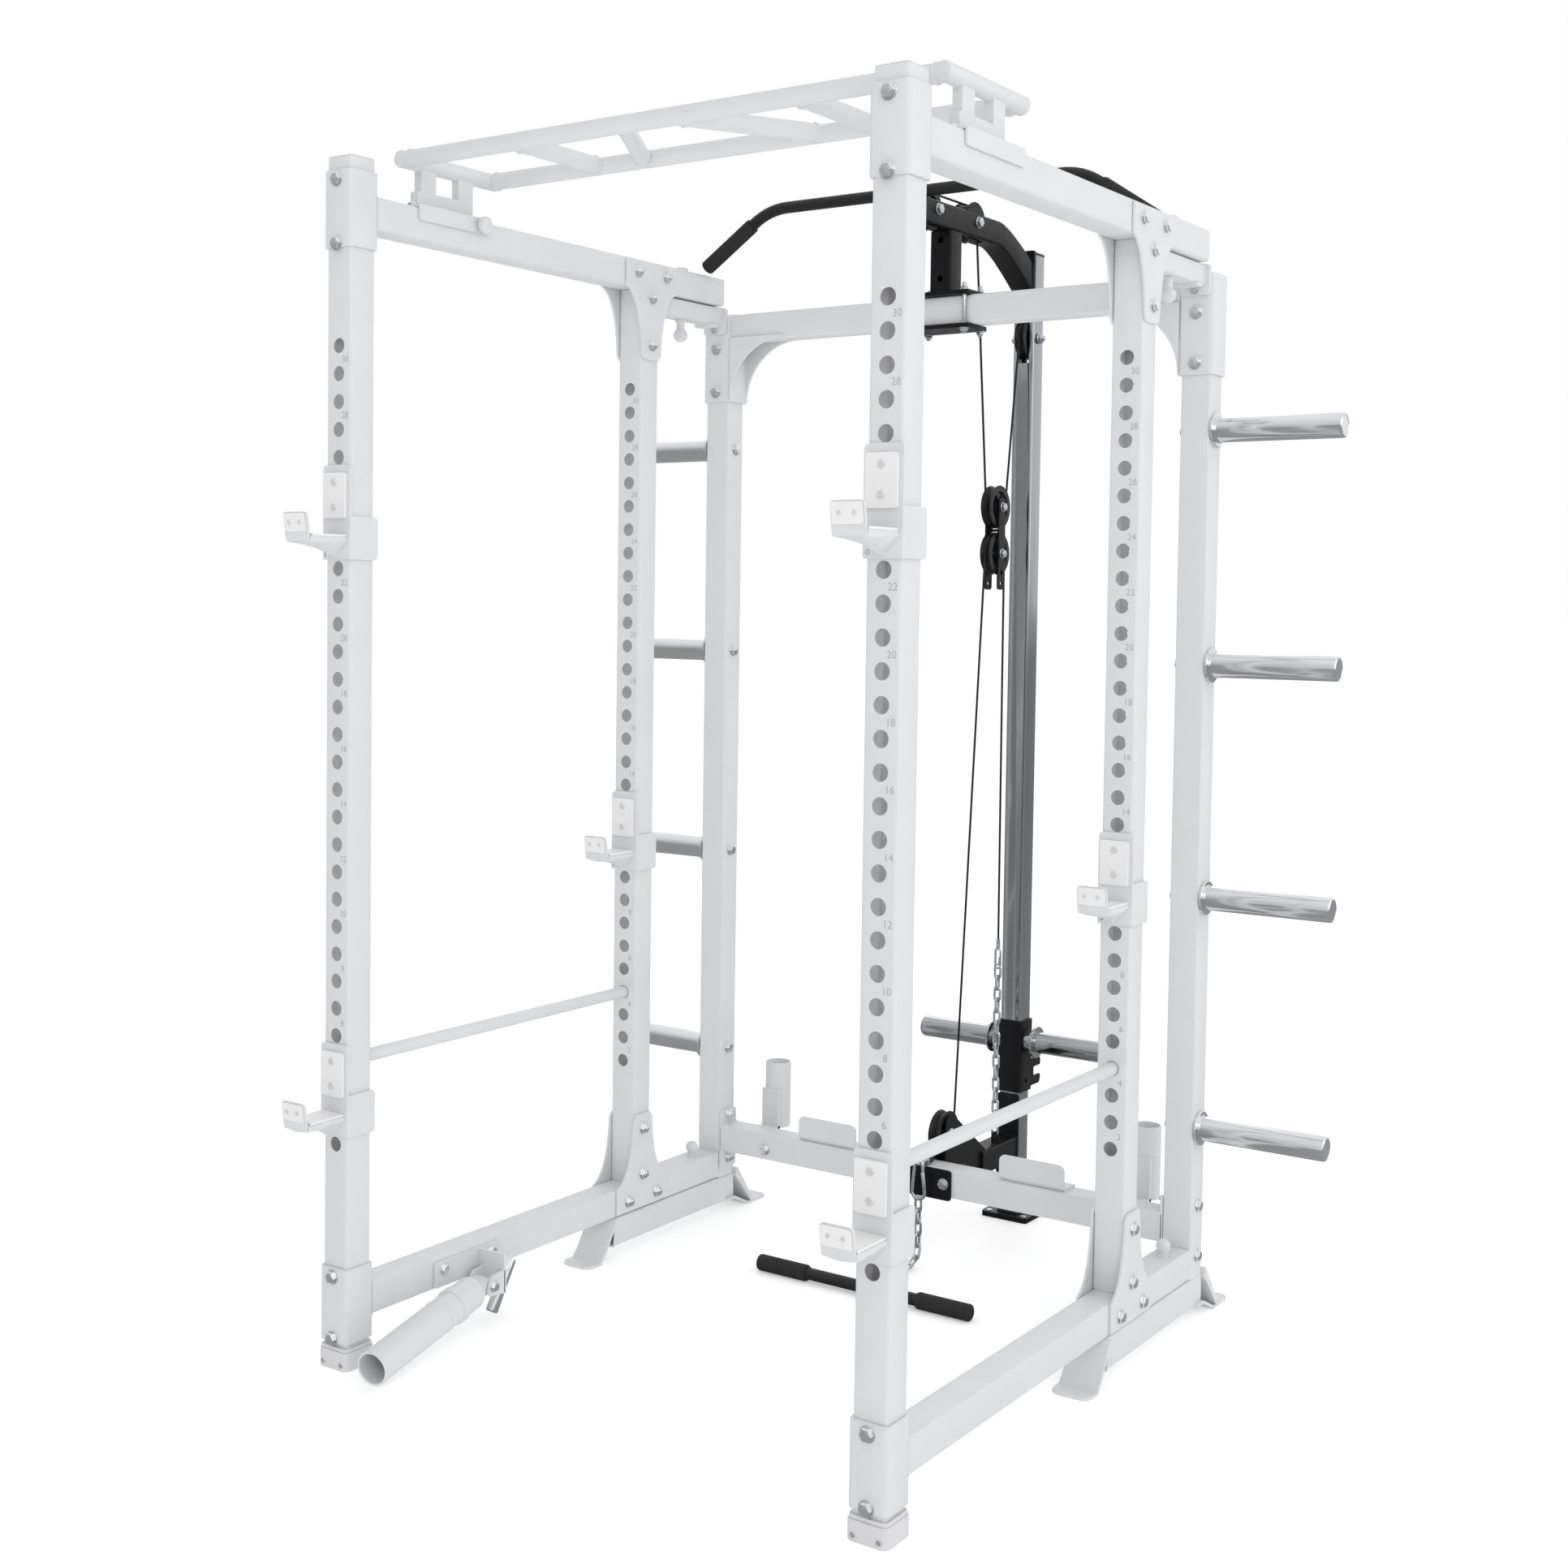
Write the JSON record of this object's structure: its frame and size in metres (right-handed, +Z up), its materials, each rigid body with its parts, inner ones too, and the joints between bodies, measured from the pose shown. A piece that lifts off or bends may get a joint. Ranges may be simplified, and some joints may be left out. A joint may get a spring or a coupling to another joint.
{
  "type": "power cage",
  "caption": "Six-post steel power cage with J-cups, safety rods, chin-up frame, weight pegs, landmine and a lat-pulldown and low-row column.",
  "frame": {"origin": "centre of the bounding box on the floor", "axes": "+X to the user's right when facing the cage from its open front, +Y to the rear where the lat column stands, +Z up"},
  "size_m": [1.71, 1.767, 2.2747],
  "materials": {
    "coat": "satin powder coat",
    "black": "satin black powder coat",
    "chrome": "polished chrome",
    "zinc": "bright zinc plate",
    "nylon": "moulded nylon",
    "cable": "nylon coated steel cable"
  },
  "bodies": {
    "cage": {"front_post_left": "coat", "mid_post_left": "coat", "rear_post_left": "coat", "top_rail_left": "coat", "base_rail_left": "coat", "top_gusset_left": "coat", "base_gusset_left": "coat", "rear_top_tube_left": "coat", "rear_base_tube_left": "coat", "weight_peg_left_1": "chrome", "weight_peg_left_2": "chrome", "weight_peg_left_3": "chrome", "weight_peg_left_4": "chrome", "front_post_right": "coat", "mid_post_right": "coat", "rear_post_right": "coat", "top_rail_right": "coat", "base_rail_right": "coat", "top_gusset_right": "coat", "base_gusset_right": "coat", "rear_top_tube_right": "coat", "rear_base_tube_right": "coat", "weight_peg_right_1": "chrome", "weight_peg_right_2": "chrome", "weight_peg_right_3": "chrome", "weight_peg_right_4": "chrome", "rear_top_crossmember": "coat", "rear_bottom_crossmember": "coat", "chin_up_frame": "coat", "landmine_bracket": "coat", "lat_arm": "black", "arm_post": "black", "guide_column": "chrome", "low_arm": "black", "lat_cable": "cable", "row_cable": "cable", "anchor_chain": "zinc"},
    "clamp_knob_left": {"clamp_knob_left": "coat"},
    "j_cup_low_left": {"j_cup_low_left": "coat"},
    "j_cup_high_left": {"j_cup_high_left": "coat"},
    "j_cup_mid_left": {"j_cup_mid_left": "coat"},
    "safety_rod_left": {"safety_rod_left": "coat"},
    "clamp_knob_right": {"clamp_knob_right": "coat"},
    "j_cup_low_right": {"j_cup_low_right": "coat"},
    "j_cup_high_right": {"j_cup_high_right": "coat"},
    "j_cup_mid_right": {"j_cup_mid_right": "coat"},
    "safety_rod_right": {"safety_rod_right": "coat"},
    "landmine_sleeve": {"landmine_sleeve": "coat"},
    "carriage": {"weight_carriage": "black"},
    "arm_front_pulley": {"arm_front_pulley": "nylon"},
    "arm_rear_pulley": {"arm_rear_pulley": "nylon"},
    "column_pulley": {"column_pulley": "nylon"},
    "pulley_block": {"pulley_block": "black"},
    "block_upper_pulley": {"block_upper_pulley": "nylon"},
    "block_lower_pulley": {"block_lower_pulley": "nylon"},
    "low_pulley": {"low_pulley": "nylon"},
    "row_handle": {"row_chain": "zinc", "row_bar": "black"},
    "lat_snap_hook": {"lat_snap_hook": "zinc"},
    "lat_bar": {"lat_bar": "black"}
  },
  "joints": [
    {"name": "clamp_turn_left", "type": "hinge", "parent": "cage", "child": "clamp_knob_left", "pos_m": [-0.57, 0.2515, 2.003], "axis": [0, 0, 1], "continuous": true},
    {"name": "j_cup_low_left_off", "type": "slide", "parent": "cage", "child": "j_cup_low_left", "axis": [0, -1, 0], "range_m": [0, 0.07]},
    {"name": "j_cup_high_left_off", "type": "slide", "parent": "cage", "child": "j_cup_high_left", "axis": [0, -1, 0], "range_m": [0, 0.07]},
    {"name": "j_cup_mid_left_off", "type": "slide", "parent": "cage", "child": "j_cup_mid_left", "axis": [0, -1, 0], "range_m": [0, 0.07]},
    {"name": "safety_rod_left_slide", "type": "slide", "parent": "cage", "child": "safety_rod_left", "axis": [0, 1, 0], "range_m": [0, 0.25]},
    {"name": "clamp_turn_right", "type": "hinge", "parent": "cage", "child": "clamp_knob_right", "pos_m": [0.57, 0.2515, 2.003], "axis": [0, 0, 1], "continuous": true},
    {"name": "j_cup_low_right_off", "type": "slide", "parent": "cage", "child": "j_cup_low_right", "axis": [0, -1, 0], "range_m": [0, 0.07]},
    {"name": "j_cup_high_right_off", "type": "slide", "parent": "cage", "child": "j_cup_high_right", "axis": [0, -1, 0], "range_m": [0, 0.07]},
    {"name": "j_cup_mid_right_off", "type": "slide", "parent": "cage", "child": "j_cup_mid_right", "axis": [0, -1, 0], "range_m": [0, 0.07]},
    {"name": "safety_rod_right_slide", "type": "slide", "parent": "cage", "child": "safety_rod_right", "axis": [0, 1, 0], "range_m": [0, 0.25]},
    {"name": "landmine_tilt", "type": "hinge", "parent": "cage", "child": "landmine_sleeve", "pos_m": [-0.497, -0.4565, 0.084], "axis": [-1, 0, 0], "range_deg": [0, 70]},
    {"name": "carriage_lift", "type": "slide", "parent": "cage", "child": "carriage", "axis": [0, 0, 1], "range_m": [0, 1.35], "deforming": ["lat_cable"]},
    {"name": "lat_hook_drop", "type": "slide", "parent": "cage", "child": "lat_snap_hook", "axis": [0, 0, -1], "range_m": [0, 1.35]},
    {"name": "arm_front_pulley_turn", "type": "hinge", "parent": "cage", "child": "arm_front_pulley", "pos_m": [0, 0.3415, 2.231], "axis": [1, 0, 0], "continuous": true},
    {"name": "arm_rear_pulley_turn", "type": "hinge", "parent": "cage", "child": "arm_rear_pulley", "pos_m": [0, 0.5165, 2.231], "axis": [1, 0, 0], "continuous": true},
    {"name": "column_pulley_turn", "type": "hinge", "parent": "cage", "child": "column_pulley", "pos_m": [0, 0.8115, 2.017], "axis": [1, 0, 0], "continuous": true},
    {"name": "row_pull", "type": "slide", "parent": "cage", "child": "row_handle", "axis": [0, -1, 0], "range_m": [0, 0.6], "stiffness_N_per_m": 30, "springref_m": -0.4, "deforming": ["row_cable"]},
    {"name": "block_drop", "type": "slide", "parent": "cage", "child": "pulley_block", "axis": [0, 0, -1], "range_m": [0, 0.3]},
    {"name": "block_upper_pulley_turn", "type": "hinge", "parent": "pulley_block", "child": "block_upper_pulley", "pos_m": [0, 0.6665, 1.63], "axis": [1, 0, 0], "continuous": true},
    {"name": "block_lower_pulley_turn", "type": "hinge", "parent": "pulley_block", "child": "block_lower_pulley", "pos_m": [0, 0.6665, 1.527], "axis": [1, 0, 0], "continuous": true},
    {"name": "low_pulley_turn", "type": "hinge", "parent": "cage", "child": "low_pulley", "pos_m": [0, 0.4775, 0.265], "axis": [1, 0, 0], "continuous": true},
    {"name": "lat_bar_lift", "type": "slide", "parent": "cage", "child": "lat_bar", "axis": [0, 0, 1], "range_m": [0, 0.3]}
  ],
  "couplings": [
    {"joint": "lat_hook_drop", "follows": "carriage_lift", "ratio": 1},
    {"joint": "arm_front_pulley_turn", "follows": "carriage_lift", "rad_per_m": 26.316},
    {"joint": "arm_rear_pulley_turn", "follows": "carriage_lift", "rad_per_m": 26.316},
    {"joint": "column_pulley_turn", "follows": "carriage_lift", "rad_per_m": 22.222},
    {"joint": "block_upper_pulley_turn", "follows": "carriage_lift", "rad_per_m": -22.222},
    {"joint": "block_drop", "follows": "row_pull", "ratio": 0.5},
    {"joint": "block_lower_pulley_turn", "follows": "row_pull", "rad_per_m": 11.111},
    {"joint": "low_pulley_turn", "follows": "row_pull", "rad_per_m": -22.222}
  ]
}
